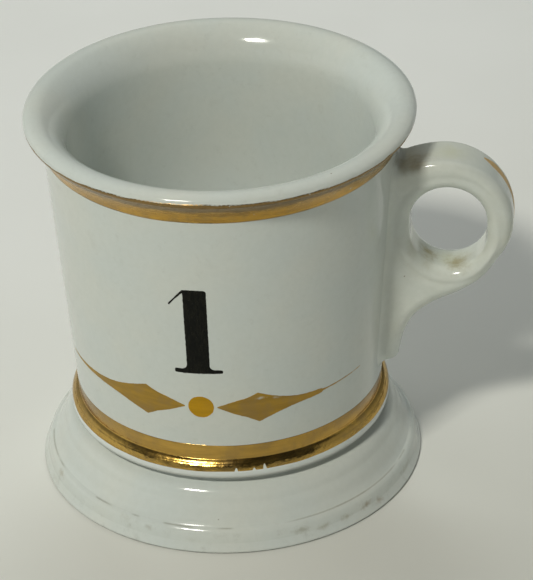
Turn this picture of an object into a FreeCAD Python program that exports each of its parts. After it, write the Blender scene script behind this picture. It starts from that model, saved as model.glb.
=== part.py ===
import FreeCAD, Part

import math
import os

# Barber shop shaving mug in glazed porcelain, in millimetres.
# Z is the mug's own axis and points up. The origin is on that axis, in the plane of the standing ring.
# The handle stands out along +X, and the painted front faces -Y.

# Heights above the table
RIM_HEIGHT = 96.0
LIP_EDGE_HEIGHT = 94.4
WALL_TOP_HEIGHT = 87.4
BAND_TOP_HEIGHT = 24.6
CREASE_HEIGHT = 20.5
BAND_FOOT_HEIGHT = 18.7
BEAD_FOOT_HEIGHT = 16.4
CUP_UNDERSIDE_HEIGHT = 15.8
FOOT_TOP_HEIGHT = 15.4
FOOT_RIM_HEIGHT = 5.5
FLOOR_HEIGHT = 21.5

# Radii about the mug's axis
LIP_RADIUS = 45.95
WALL_TOP_RADIUS = 41.7
CREASE_RADIUS = 37.23
BEAD_RADIUS = 39.1
NECK_RADIUS = 37.0
FOOT_RIM_RADIUS = 44.5
FOOT_RADIUS = 46.9
STANDING_RING_RADIUS = 43.0
FOOT_THROAT_RADIUS = 32.5

# Walls
INNER_LIP_RADIUS = 41.2
INNER_WALL_TOP_RADIUS = 36.1
INNER_FLOOR_RADIUS = 27.0
INNER_CORNER_RADIUS = 33.4

# Handle, drawn in the XZ plane
HANDLE_WIDTH = 12.4
HANDLE_OUTER_FILLET = 3.0
HANDLE_ROOT_X = 34.0
RING_ARC = [(52.3, 84.4), (67.6, 74.6), (66.5, 59.5)]
TAIL_CURVE = [
    (66.5, 59.5),
    (62.0, 53.0),
    (56.6, 48.9),
    (50.6, 45.8),
    (45.9, 41.8),
    (43.2, 36.6),
    (42.0, 31.4),
]
TAIL_LOW = 28.9
TAIL_ROUNDING_TOP = 31.5
FINGER_HOLE_X = 53.7
FINGER_HOLE_Z = 66.1
FINGER_HOLE_RADIUS = 9.1
FINGER_HOLE_STRAIGHT = 3.4
FINGER_HOLE_FILLET = 2.4
SLIP_THICKNESS = 0.5
SLIP_WIDTH = 15.0
SLIP_LOW = 27.8
SLIP_HIGH = 83.0

# Decoration
FILM_THICKNESS = 0.12
DECORATION_TURN = -2.4
NUMERAL_LOW = 45.7
NUMERAL_HIGH = 69.0
STEM_HALF_WIDTH = 2.72
SERIF_HALF_WIDTH = 5.7
SERIF_THICKNESS = 0.85
BRACKET = 0.7
FLAG_TIP_X = -6.2
FLAG_TIP_Z = 64.7
ORNAMENT_HEIGHT = 35.9
DOT_RADIUS = 3.05
LEAF_OUTLINE = [(4.0, 0.0), (7.8, 1.8), (10.8, 2.8), (13.5, 4.15), (16.0, 3.3), (19.4, 2.2)]
LEAF_TAIL = [(23.0, 1.35), (27.0, 0.8), (30.0, 0.45), (43.0, 0.15)]
HANDLE_LINE_WIDTH = 3.0
HANDLE_LINE_START_X = 61.0
HANDLE_LINE_END_Z = 32.0

# The span of the cones that follow the wall, and a length that passes every outline
CONE_LOW = 20.0
CONE_HIGH = 90.0
REACH = 60.0
UP = FreeCAD.Vector(0, 0, 1)
ORIGIN = FreeCAD.Vector(0, 0, 0)


def point(x, z, y=0.0):
    return FreeCAD.Vector(x, y, z)


def line(start, end):
    return Part.makeLine(point(*start), point(*end))


def arc(start, middle, end):
    return Part.Arc(point(*start), point(*middle), point(*end)).toShape()


def curve(points):
    spline = Part.BSplineCurve()
    spline.interpolate([point(*p) for p in points])
    return spline.toShape()


def turned(edges):
    """The solid that a closed outline in the XZ half-plane sweeps round the mug's axis."""
    return Part.Face(Part.Wire(edges)).revolve(ORIGIN, UP, 360)


def ring(inner, outer, low, high):
    """A plain ring about the mug's axis."""
    height = high - low
    base = point(0, low)
    return Part.makeCylinder(outer, height, base).cut(Part.makeCylinder(inner, height, base))


def wall_radius(height):
    """Radius of the straight tapered wall at a height."""
    slope = (WALL_TOP_RADIUS - CREASE_RADIUS) / (WALL_TOP_HEIGHT - CREASE_HEIGHT)
    return CREASE_RADIUS + slope * (height - CREASE_HEIGHT)


def cup_outline(grow=0.0):
    """Half section of the cup: flared lip, tapered wall, round bead, flat base, rounded inside."""
    lip_inner = (INNER_LIP_RADIUS, RIM_HEIGHT - 0.55)
    lip_crest = (43.5, RIM_HEIGHT + grow)
    lip_shoulder = (45.5 + grow * 0.6, 95.3 + grow * 0.8)
    lip_edge = (LIP_RADIUS + grow, LIP_EDGE_HEIGHT)
    lip_under = (45.5 + grow, 93.2)
    flare_middle = (43.1 + grow, 90.3)
    wall_top = (WALL_TOP_RADIUS + grow, WALL_TOP_HEIGHT)
    crease = (CREASE_RADIUS + grow, CREASE_HEIGHT + grow)
    bead_shoulder = (38.3 + grow * 0.7, 19.8 + grow * 0.7)
    band_foot = (38.95 + grow, BAND_FOOT_HEIGHT)
    bead_middle = (BEAD_RADIUS + grow, 17.7)
    bead_foot = (38.5 + grow, BEAD_FOOT_HEIGHT)
    base_edge = (NECK_RADIUS + grow, CUP_UNDERSIDE_HEIGHT)
    base_centre = (0, CUP_UNDERSIDE_HEIGHT)
    floor_centre = (0, FLOOR_HEIGHT)
    floor_edge = (INNER_FLOOR_RADIUS, FLOOR_HEIGHT)
    corner_middle = (31.6, 23.6)
    corner_top = (INNER_CORNER_RADIUS, 28.5)
    inner_wall_top = (INNER_WALL_TOP_RADIUS, 86.5)
    inner_flare = (38.0, 92.4)
    return [
        arc(lip_inner, lip_crest, lip_shoulder),
        arc(lip_shoulder, lip_edge, lip_under),
        arc(lip_under, flare_middle, wall_top),
        line(wall_top, crease),
        arc(crease, bead_shoulder, band_foot),
        arc(band_foot, bead_middle, bead_foot),
        arc(bead_foot, (37.8 + grow, 16.0), base_edge),
        line(base_edge, base_centre),
        line(base_centre, floor_centre),
        line(floor_centre, floor_edge),
        arc(floor_edge, corner_middle, corner_top),
        line(corner_top, inner_wall_top),
        arc(inner_wall_top, inner_flare, lip_inner),
    ]


def make_cup():
    return turned(cup_outline())


def make_foot():
    """Pedestal foot: two soft rings step down to a slanted rim, and the underside is hollow."""
    throat_top = (FOOT_THROAT_RADIUS, FOOT_TOP_HEIGHT)
    neck = (NECK_RADIUS, FOOT_TOP_HEIGHT)
    first_start = (37.6, 14.4)
    first_end = (41.2, 10.7)
    second_end = (42.7, 8.6)
    rim_top = (FOOT_RIM_RADIUS, FOOT_RIM_HEIGHT)
    rim_middle = (45.9, 2.4)
    rim_low = (FOOT_RADIUS, 0.7)
    ring_outer = (46.4, 0)
    ring_inner = (STANDING_RING_RADIUS, 0)
    recess_edge = (42.3, 1.4)
    recess_shoulder = (37.2, 9.6)
    edges = [
        line(throat_top, neck),
        arc(neck, (37.1, 14.8), first_start),
        arc(first_start, (40.0, 13.2), first_end),
        arc(first_end, (42.2, 10.0), second_end),
        arc(second_end, (43.2, 6.9), rim_top),
        arc(rim_top, (45.3, 4.3), rim_middle),
        line(rim_middle, rim_low),
        arc(rim_low, (46.8, 0.2), ring_outer),
        line(ring_outer, ring_inner),
        line(ring_inner, recess_edge),
        line(recess_edge, recess_shoulder),
        line(recess_shoulder, throat_top),
    ]
    return turned(edges)


def make_foot_slip():
    """The thin ring of slip that joins the cup's base to its foot."""
    return ring(FOOT_THROAT_RADIUS, NECK_RADIUS, FOOT_TOP_HEIGHT, CUP_UNDERSIDE_HEIGHT)


def cone(extra):
    """A solid cone that follows the cup's wall, extra larger in radius."""
    low = wall_radius(CONE_LOW) + extra
    high = wall_radius(CONE_HIGH) + extra
    return Part.makeCone(low, high, CONE_HIGH - CONE_LOW, point(0, CONE_LOW))


def handle_outline():
    """Side view of the handle: a ring with a flatter top, running down into an S-shaped tail."""
    root_top = (HANDLE_ROOT_X, 78.5)
    wall_entry = (41.0, 81.4)
    tip = (39.6, TAIL_LOW)
    root_low = (HANDLE_ROOT_X, TAIL_LOW)
    return [
        line(root_top, wall_entry),
        arc(wall_entry, (46.5, 83.5), RING_ARC[0]),
        arc(*RING_ARC),
        curve(TAIL_CURVE),
        arc(TAIL_CURVE[-1], (41.3, 29.6), tip),
        line(tip, root_low),
        line(root_low, root_top),
    ]


def outside(edge, places):
    """Places on an edge of the handle's outline, moved out by the thickness of a painted film."""
    moved = []
    for x, z in places:
        direction = edge.Curve.tangent(edge.Curve.parameter(point(x, z)))[0]
        moved.append((x - FILM_THICKNESS * direction.z, z + FILM_THICKNESS * direction.x))
    return moved


def slab(face, width):
    """A face in the XZ plane, thickened equally to both sides."""
    placed = face.copy()
    placed.translate(FreeCAD.Vector(0, -width / 2, 0))
    return placed.extrude(FreeCAD.Vector(0, width, 0))


def finger_hole():
    """The upright oval hole through the handle's ring."""
    half = FINGER_HOLE_STRAIGHT / 2
    left = FINGER_HOLE_X - FINGER_HOLE_RADIUS
    right = FINGER_HOLE_X + FINGER_HOLE_RADIUS
    high = FINGER_HOLE_Z + half
    low = FINGER_HOLE_Z - half
    edges = [
        arc((left, high), (FINGER_HOLE_X, high + FINGER_HOLE_RADIUS), (right, high)),
        line((right, high), (right, low)),
        arc((right, low), (FINGER_HOLE_X, low - FINGER_HOLE_RADIUS), (left, low)),
        line((left, low), (left, high)),
    ]
    return slab(Part.Face(Part.Wire(edges)), 2 * HANDLE_WIDTH)


def side_edges(shape, keep):
    """Edges in the handle's two flat sides whose middle passes the test keep(x, z)."""
    found = []
    for edge in shape.Edges:
        middle = edge.valueAt((edge.FirstParameter + edge.LastParameter) / 2)
        flat = all(abs(abs(v.Point.y) - HANDLE_WIDTH / 2) < 1e-6 for v in edge.Vertexes)
        if flat and abs(abs(middle.y) - HANDLE_WIDTH / 2) < 1e-6 and keep(middle.x, middle.z):
            found.append(edge)
    return found


def in_ring(x, z):
    reach = FINGER_HOLE_RADIUS + FINGER_HOLE_STRAIGHT / 2 + 0.1
    return math.hypot(x - FINGER_HOLE_X, z - FINGER_HOLE_Z) < reach


def above_tip(x, z):
    """True on the outline outside the wall, down to the tail's blunt tip."""
    return x > wall_radius(z) and z > TAIL_ROUNDING_TOP


def make_handle():
    """The ring and tail with rounded outer edges, less a finger hole with rounded rims."""
    body = slab(Part.Face(Part.Wire(handle_outline())), HANDLE_WIDTH)
    body = body.makeFillet(HANDLE_OUTER_FILLET, side_edges(body, above_tip))
    corner = FreeCAD.Vector(HANDLE_ROOT_X, -HANDLE_WIDTH / 2, TAIL_LOW)
    plate = Part.makeBox(REACH, HANDLE_WIDTH, REACH, corner)
    plate = plate.cut(finger_hole())
    plate = plate.makeFillet(FINGER_HOLE_FILLET, side_edges(plate, in_ring))
    return body.common(plate).cut(cone(SLIP_THICKNESS))


def make_handle_slip():
    """The pad of slip between the handle's root and the wall, wiped out a little past the root."""
    half = SLIP_WIDTH / 2
    height = SLIP_HIGH - SLIP_LOW
    strip = Part.makeBox(REACH, SLIP_WIDTH, height, FreeCAD.Vector(0, -half, SLIP_LOW))
    upright = [e for e in strip.Edges if abs(e.Vertexes[0].X - e.Vertexes[-1].X) > REACH / 2]
    strip = strip.makeFillet(half * 0.8, upright)
    return strip.common(cone(SLIP_THICKNESS)).cut(cone(0.0))


def make_skin(cup):
    """A film of even thickness all over the outside of the cup, from which the bands are cut."""
    return turned(cup_outline(FILM_THICKNESS)).cut(cup)


def make_rim_band(skin):
    return skin.common(ring(WALL_TOP_RADIUS - 0.1, REACH, WALL_TOP_HEIGHT, LIP_EDGE_HEIGHT))


def make_base_band(skin):
    return skin.common(ring(CREASE_RADIUS - 1, REACH, BAND_FOOT_HEIGHT, BAND_TOP_HEIGHT))


def painted(edges, skin):
    """The film under an outline on the mug's front, turned a little off the square position."""
    face = Part.Face(Part.Wire(edges))
    film = face.extrude(FreeCAD.Vector(0, -REACH, 0)).common(skin)
    film.rotate(ORIGIN, UP, DECORATION_TURN)
    return film


def closed_lines(points):
    return [line(a, b) for a, b in zip(points, points[1:] + points[:1])]


def make_numeral(skin):
    """A slab-footed numeral one, with a thin flag at its upper left."""
    stem = STEM_HALF_WIDTH
    foot_top = NUMERAL_LOW + SERIF_THICKNESS
    outline = [
        (-SERIF_HALF_WIDTH, NUMERAL_LOW),
        (SERIF_HALF_WIDTH, NUMERAL_LOW),
        (SERIF_HALF_WIDTH, foot_top),
        (stem + BRACKET, foot_top + 0.1),
        (stem, foot_top + 2 * BRACKET),
        (stem, NUMERAL_HIGH - 0.6),
        (stem - 0.5, NUMERAL_HIGH),
        (-stem, NUMERAL_HIGH - 0.1),
        (FLAG_TIP_X, FLAG_TIP_Z),
        (FLAG_TIP_X + 0.4, FLAG_TIP_Z - 0.25),
        (-stem, NUMERAL_HIGH - 2.1),
        (-stem, foot_top + 2 * BRACKET),
        (-stem - BRACKET, foot_top + 0.1),
        (-SERIF_HALF_WIDTH, foot_top),
    ]
    return painted(closed_lines(outline), skin)


def make_dot(skin):
    left = (-DOT_RADIUS, ORNAMENT_HEIGHT)
    right = (DOT_RADIUS, ORNAMENT_HEIGHT)
    over = arc(left, (0, ORNAMENT_HEIGHT + DOT_RADIUS), right)
    under = arc(right, (0, ORNAMENT_HEIGHT - DOT_RADIUS), left)
    return painted([over, under], skin)


def make_leaf(skin, side):
    """A four-cornered leaf with hollow sides, drawn out to a hairline; side is -1 or 1."""
    radius = wall_radius(ORNAMENT_HEIGHT)
    flat = [(side * radius * math.sin(s / radius), h) for s, h in LEAF_OUTLINE + LEAF_TAIL]
    upper = [(x, ORNAMENT_HEIGHT + h) for x, h in flat]
    lower = [(x, ORNAMENT_HEIGHT - h) for x, h in reversed(flat[1:])]
    return painted(closed_lines(upper + lower), skin)


def make_handle_line():
    """The painted line along the handle's outer spine, from past the thumb rest to the tail."""
    spine = outside(arc(*RING_ARC), RING_ARC)
    tail = outside(curve(TAIL_CURVE), TAIL_CURVE)
    root_low = (HANDLE_ROOT_X, tail[-1][1])
    root_high = (HANDLE_ROOT_X, spine[0][1])
    edges = [
        arc(spine[0], spine[1], tail[0]),
        curve(tail),
        line(tail[-1], root_low),
        line(root_low, root_high),
        line(root_high, spine[0]),
    ]
    cut = Part.Face(Part.Wire(edges)).cut(Part.Face(Part.Wire(handle_outline())))
    strip = Part.Face(cut.Faces[0].OuterWire)
    half = REACH / 2
    over_thumb_rest = point(HANDLE_LINE_START_X - REACH, FINGER_HOLE_Z, -half)
    under_tail = point(0, HANDLE_LINE_END_Z - REACH, -half)
    film = slab(strip, HANDLE_LINE_WIDTH)
    film = film.cut(Part.makeBox(REACH, REACH, REACH, over_thumb_rest))
    return film.cut(Part.makeBox(2 * REACH, REACH, REACH, under_tail))


def save(name, shape):
    """Writes one node as STEP, after a check that it is sound."""
    if not shape.isValid() or shape.Volume <= 0:
        raise ValueError(name + " is not a sound solid")
    solids = shape.Solids
    whole = solids[0] if len(solids) == 1 else Part.makeCompound(solids)
    whole.exportStep("parts/" + name + ".step")
    print(name, len(solids), "solid", round(shape.Volume, 1), "mm3")


def main():
    os.makedirs("parts", exist_ok=True)
    cup = make_cup()
    skin = make_skin(cup)
    save("cup_body", cup)
    save("pedestal_foot", make_foot())
    save("foot_slip_joint", make_foot_slip())
    save("handle", make_handle())
    save("handle_slip_joint", make_handle_slip())
    save("rim_gold_band", make_rim_band(skin))
    save("base_gold_band", make_base_band(skin))
    save("numeral_one", make_numeral(skin))
    save("ornament_dot", make_dot(skin))
    save("ornament_leaf_left", make_leaf(skin, -1))
    save("ornament_leaf_right", make_leaf(skin, 1))
    save("handle_gold_line", make_handle_line())


main()
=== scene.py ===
import math

import bmesh
import bpy
import numpy as np
from mathutils import Matrix, Vector
from mathutils.bvhtree import BVHTree


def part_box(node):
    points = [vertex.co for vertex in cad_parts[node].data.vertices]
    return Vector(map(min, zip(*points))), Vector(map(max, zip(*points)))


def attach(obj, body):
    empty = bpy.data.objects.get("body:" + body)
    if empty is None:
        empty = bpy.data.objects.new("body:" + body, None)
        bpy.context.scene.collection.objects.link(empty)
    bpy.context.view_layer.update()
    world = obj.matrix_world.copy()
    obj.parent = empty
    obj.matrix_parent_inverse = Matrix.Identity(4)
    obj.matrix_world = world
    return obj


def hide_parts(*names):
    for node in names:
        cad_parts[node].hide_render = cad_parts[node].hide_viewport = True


# A barber's shaving mug. Lengths are in millimetres, and MM turns them into the metres of the frame.
# Z is the mug's axis, the handle points along +X, and the painted front faces -Y.

MM = 0.001
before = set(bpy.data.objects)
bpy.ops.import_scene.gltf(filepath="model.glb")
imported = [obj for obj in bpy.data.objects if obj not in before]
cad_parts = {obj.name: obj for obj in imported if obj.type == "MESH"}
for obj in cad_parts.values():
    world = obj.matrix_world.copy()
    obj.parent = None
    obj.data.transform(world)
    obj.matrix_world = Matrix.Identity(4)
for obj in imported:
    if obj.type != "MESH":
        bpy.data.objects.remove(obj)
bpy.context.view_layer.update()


def corners(node):
    """Lowest and highest corner of a CAD node, in millimetres."""
    low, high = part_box(node)
    return low / MM, high / MM


# Sizes taken from the frame
CUP_LOW, CUP_HIGH = corners("cup_body")
LIP_RADIUS = CUP_HIGH.x
RIM_HEIGHT = CUP_HIGH.z
CUP_UNDERSIDE = CUP_LOW.z
FOOT_RADIUS = corners("pedestal_foot")[1].x
NECK_RADIUS = corners("foot_slip_joint")[1].x
THROAT_HEIGHT = corners("foot_slip_joint")[0].z
RIM_BAND_FOOT = corners("rim_gold_band")[0].z
BASE_BAND_FOOT, BASE_BAND_TOP = (corner.z for corner in corners("base_gold_band"))
NUMERAL_LOW, NUMERAL_HIGH = (corner.z for corner in corners("numeral_one"))
DOT_LOW, DOT_HIGH = corners("ornament_dot")
ORNAMENT_HEIGHT = (DOT_LOW.z + DOT_HIGH.z) / 2
DOT_RADIUS = (DOT_HIGH.z - DOT_LOW.z) / 2
DOT_X = (DOT_LOW.x + DOT_HIGH.x) / 2
HANDLE_LOW, HANDLE_HIGH = corners("handle")
HANDLE_HALF_WIDTH = HANDLE_HIGH.y

# The cup's section, and the foot's throat
WALL_TOP_RADIUS = LIP_RADIUS - 4.25
CREASE_RADIUS = NECK_RADIUS + 0.23
CREASE_HEIGHT = 20.5
BEAD_RADIUS = 39.1
FLOOR_HEIGHT = 21.5
THROAT_RADIUS = 32.5

# How far the films stand proud of the glaze, and how far their backs are sunk in it
GOLD_LIFT = 0.035
ENAMEL_LIFT = 0.06
FILM_ROOT = 0.05

# Steps round the axis
ROUND = 288
BAND_ROUND = 2 * ROUND


def line(start, end, count=24):
    """Points along a straight line, its end left out."""
    steps = np.linspace(0, 1, count, endpoint=False)[:, None]
    return np.array(start, float) + steps * (np.array(end, float) - np.array(start, float))


def arc(start, middle, end, count=28):
    """Points along the circular arc through three points, its end left out."""
    a, b, c = (complex(*p) for p in (start, middle, end))
    w = (c - a) / (b - a)
    centre = (b - a) * (w - abs(w) ** 2) / (w - w.conjugate()) + a
    turn_b = math.remainder(np.angle((b - centre) / (a - centre)), math.tau)
    turn_c = math.remainder(np.angle((c - centre) / (a - centre)), math.tau)
    if turn_b * turn_c < 0 or abs(turn_c) < abs(turn_b):
        turn_c -= math.copysign(math.tau, turn_c)
    places = centre + (a - centre) * np.exp(1j * np.linspace(0, turn_c, count, endpoint=False))
    return np.stack([places.real, places.imag], 1)


def smooth_curve(points, count=16):
    """Points along a Catmull-Rom curve through the given points, its end left out."""
    p = np.array([points[0], *points, points[-1]], float)
    p[0] = 2 * p[1] - p[2]
    p[-1] = 2 * p[-2] - p[-3]
    pieces = []
    for k in range(1, len(p) - 2):
        t = np.linspace(0, 1, count, endpoint=False)[:, None]
        a = 2 * p[k]
        b = p[k + 1] - p[k - 1]
        c = 2 * p[k - 1] - 5 * p[k] + 4 * p[k + 1] - p[k + 2]
        d = 3 * p[k] - p[k - 1] - 3 * p[k + 1] + p[k + 2]
        pieces.append((a + b * t + c * t * t + d * t ** 3) / 2)
    return np.concatenate(pieces)


def softened(outline, radius, closed=False, step=0.1):
    """An outline with its corners rounded as glaze rounds them, as evenly spaced points."""
    points = np.vstack([outline, outline[:1]]) if closed else np.array(outline)
    run = np.concatenate([[0], np.cumsum(np.linalg.norm(np.diff(points, axis=0), axis=1))])
    places = np.arange(0, run[-1], step)
    even = np.stack([np.interp(places, run, points[:, k]) for k in (0, 1)], 1)
    reach = int(3 * radius / step)
    weights = np.exp(-0.5 * (np.arange(-reach, reach + 1) * step / radius) ** 2)
    weights /= weights.sum()
    if closed:
        padded = np.vstack([even[-reach:], even, even[:reach]])
    else:
        first, last = even[0], points[-1]
        padded = np.vstack([2 * first - even[reach:0:-1], even, 2 * last - even[-1:-reach - 1:-1]])
    rounded = np.stack([np.convolve(padded[:, k], weights, "valid") for k in (0, 1)], 1)
    return rounded if closed else np.vstack([rounded, last])


def thinned(points, turn=0.07, gap=5.0):
    """Keeps a point wherever the outline has turned or run far enough since the last one."""
    kept = [0]
    turned_by = run = 0.0
    for k in range(1, len(points) - 1):
        before = points[k] - points[k - 1]
        after = points[k + 1] - points[k]
        cross = before[0] * after[1] - before[1] * after[0]
        turned_by += abs(math.atan2(cross, before @ after))
        run += np.linalg.norm(before)
        if turned_by > turn or run > gap:
            kept.append(k)
            turned_by = run = 0.0
    return points[kept + [len(points) - 1]]


# The outer side of the cup, from the lip's crest down to its underside, and the inner side back up

LIP_CREST = (LIP_RADIUS - 2.45, RIM_HEIGHT)
CREASE = (CREASE_RADIUS, CREASE_HEIGHT)
BEAD_SLOPE = (38.46, 19.38)
BEAD_EDGE = (BEAD_RADIUS - 0.01, 18.2)
BEAD_SIDE = (BEAD_RADIUS + 0.06, 17.3)


def outer_side():
    """The lip's outside, the wall, the cove and the bead round the base."""
    shoulder = (LIP_RADIUS - 0.45, RIM_HEIGHT - 0.7)
    edge = (LIP_RADIUS, RIM_HEIGHT - 1.6)
    under = (LIP_RADIUS - 0.45, RIM_HEIGHT - 2.8)
    wall_top = (WALL_TOP_RADIUS, RIM_BAND_FOOT)
    bead_foot = (BEAD_RADIUS - 0.08, CUP_UNDERSIDE + 0.55)
    return np.vstack([
        arc(LIP_CREST, (LIP_RADIUS - 1.35, RIM_HEIGHT - 0.2), shoulder),
        arc(shoulder, edge, under),
        arc(under, (LIP_RADIUS - 2.85, RIM_HEIGHT - 5.7), wall_top),
        line(wall_top, CREASE, 60),
        arc(CREASE, (38.15, 19.83), BEAD_SLOPE, 14),
        arc(BEAD_SLOPE, (38.83, 18.81), BEAD_EDGE, 14),
        arc(BEAD_EDGE, (BEAD_RADIUS + 0.05, 17.85), BEAD_SIDE, 14),
        line(BEAD_SIDE, bead_foot, 6),
        arc(bead_foot, (38.3, CUP_UNDERSIDE + 0.1), (NECK_RADIUS, CUP_UNDERSIDE)),
        line((NECK_RADIUS, CUP_UNDERSIDE), (0, CUP_UNDERSIDE), 12),
        [(0, CUP_UNDERSIDE)],
    ])


def inner_side():
    """The cup's floor, its rounded corner, the wall's inside and the flare up to the lip."""
    floor_edge = (27.0, FLOOR_HEIGHT)
    corner_top = (33.4, 28.5)
    wall_top = (36.1, 86.5)
    lip = (LIP_RADIUS - 4.75, RIM_HEIGHT - 0.55)
    return np.vstack([
        line((0, FLOOR_HEIGHT), floor_edge, 12),
        arc(floor_edge, (31.6, 23.6), corner_top),
        line(corner_top, wall_top, 60),
        arc(wall_top, (38.0, 92.4), lip),
        arc(lip, (LIP_RADIUS - 3.64, RIM_HEIGHT - 0.1), LIP_CREST),
    ])


def foot_loop():
    """The foot's section: two faint rings, a ledge, a rolled rim, and the hollow underside."""
    top = (NECK_RADIUS, THROAT_HEIGHT)
    shoulder = (37.6, 14.4)
    first_ring = (41.2, 10.7)
    second_ring = (42.6, 8.25)
    ledge = (44.15, 5.72)
    rings = np.vstack([
        arc(top, (37.1, 14.8), shoulder),
        arc(shoulder, (40.0, 13.2), first_ring),
        arc(first_ring, (41.93, 9.66), second_ring),
        arc(second_ring, (43.22, 6.85), ledge),
    ])
    rim_top = (FOOT_RADIUS - 2.4, 5.58)
    rim_bend = (45.5, 4.35)
    rim_side = (45.95, 2.4)
    rim_low = (FOOT_RADIUS, 0.7)
    standing_edge = (FOOT_RADIUS - 0.5, 0)
    hollow_edge = (43.0, 0)
    hollow_step = (42.3, 1.4)
    hollow_side = (37.2, 9.6)
    throat = (THROAT_RADIUS, THROAT_HEIGHT)
    rim = np.vstack([
        arc(rim_top, (45.1, 5.1), rim_bend),
        arc(rim_bend, (45.75, 3.5), rim_side),
        line(rim_side, rim_low),
        arc(rim_low, (FOOT_RADIUS - 0.1, 0.2), standing_edge),
        line(standing_edge, hollow_edge, 6),
        line(hollow_edge, hollow_step, 6),
        line(hollow_step, hollow_side),
        line(hollow_side, throat),
        line(throat, top, 6),
    ])
    return np.vstack([softened(rings, 0.42), softened(rim, 0.12)])


def slip_loop():
    """The slip joint's section: a ring that swells a little where it meets the foot and the cup."""
    inner = THROAT_RADIUS + 0.1
    swell = NECK_RADIUS + 0.05
    low, high = THROAT_HEIGHT - 0.3, CUP_UNDERSIDE + 0.3
    waist = (NECK_RADIUS - 0.12, THROAT_HEIGHT + 0.2)
    return np.array([(inner, low), (swell, low), waist, (swell, high), (inner, high)])


def make_object(name, shape, material, slot, *nodes):
    """A smooth-shaded piece that rides on the mug, stands for the named CAD nodes and has one finish."""
    vertices, faces = shape
    mesh = bpy.data.meshes.new(name)
    mesh.from_pydata([Vector(v) * MM for v in vertices], [], [list(map(int, f)) for f in faces])
    editable = bmesh.new()
    editable.from_mesh(mesh)
    bmesh.ops.recalc_face_normals(editable, faces=editable.faces)
    editable.to_mesh(mesh)
    editable.free()
    mesh.shade_smooth()
    mesh.materials.append(material)
    piece = bpy.data.objects.new(name, mesh)
    bpy.context.scene.collection.objects.link(piece)
    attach(piece, "root")
    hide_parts(*nodes)
    return piece


def ring_faces(rings, around, spans):
    """Four-sided faces between neighbouring rings of points, for the first so many spans."""
    faces = []
    for i in range(spans):
        low = i * around
        high = (i + 1) % rings * around
        for j in range(around):
            k = (j + 1) % around
            faces.append((low + j, low + k, high + k, high + j))
    return faces


def lathe(outline):
    """Vertices and faces of an outline turned round the axis. Ends on the axis close to a point."""
    angles = np.linspace(0, math.tau, ROUND, endpoint=False)
    closed = outline[0][0] > 0
    rings = [p for p in outline if p[0] > 1e-6]
    vertices = [(r * math.cos(a), r * math.sin(a), z) for r, z in rings for a in angles]
    faces = ring_faces(len(rings), ROUND, len(rings) if closed else len(rings) - 1)
    if not closed:
        for end, start in ((outline[0], 0), (outline[-1], (len(rings) - 1) * ROUND)):
            vertices.append((0, 0, end[1]))
            pole = len(vertices) - 1
            faces += [(start + j, start + (j + 1) % ROUND, pole) for j in range(ROUND)]
    return vertices, faces


# Surface of the cup's outer side, by distance along its section

OUTER = softened(outer_side(), 0.11, step=0.05)
OUTER_RUN = np.concatenate([[0], np.cumsum(np.linalg.norm(np.diff(OUTER, axis=0), axis=1))])
OUTER_WAY = np.gradient(OUTER, axis=0)
OUTER_WAY /= np.linalg.norm(OUTER_WAY, axis=1)[:, None]


def run_at(height, past):
    """Distance along the outer side where it first comes down to a height, past a starting distance."""
    found = np.nonzero((OUTER[:, 1] <= height) & (OUTER_RUN > past))[0][0]
    return OUTER_RUN[found]


def on_outer(run, angle, lift):
    """Points on the outer side, at distances along it and angles round it, lifted off it."""
    r = np.interp(run, OUTER_RUN, OUTER[:, 0]) - lift * np.interp(run, OUTER_RUN, OUTER_WAY[:, 1])
    z = np.interp(run, OUTER_RUN, OUTER[:, 1]) + lift * np.interp(run, OUTER_RUN, OUTER_WAY[:, 0])
    return np.stack([r * np.cos(angle), r * np.sin(angle), z], -1)


def wall_radius(height):
    """The cup's outside radius at a height."""
    return np.interp(-height, -OUTER[:, 1], OUTER[:, 0])


# Bearings round a band, and how far its edges stand proud
BAND_ANGLES = np.linspace(0, math.tau, BAND_ROUND, endpoint=False)
EDGE_LIFT = 0.002


def wander(size, waves, phase):
    """A slow wavering that closes on itself round the mug, like a hand on a banding wheel."""
    total = np.zeros(BAND_ROUND)
    for k, wave in enumerate(waves):
        total += np.sin(wave * BAND_ANGLES + phase * (k + 1) ** 2) / (k + 1)
    return size * total


def band(start, end, across=22, nicks=0.0):
    """A closed ring of gilding between two wavering edges, thinned towards both, nicked at its end."""
    share = np.linspace(0, 1, across)[:, None]
    run = start + share * (end - start) - share ** 4 * nicks
    edge_fade = 1 - np.abs(2 * share - 1) ** 12
    outer = on_outer(run, BAND_ANGLES, GOLD_LIFT * edge_fade + EDGE_LIFT)
    inner = on_outer(run, BAND_ANGLES, np.full_like(share, -FILM_ROOT))
    rows = np.concatenate([outer, inner[::-1]])
    return rows.reshape(-1, 3), ring_faces(len(rows), BAND_ROUND, len(rows))


# Shapes from a distance field: the surface passes through every cell where the field changes sign

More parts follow.
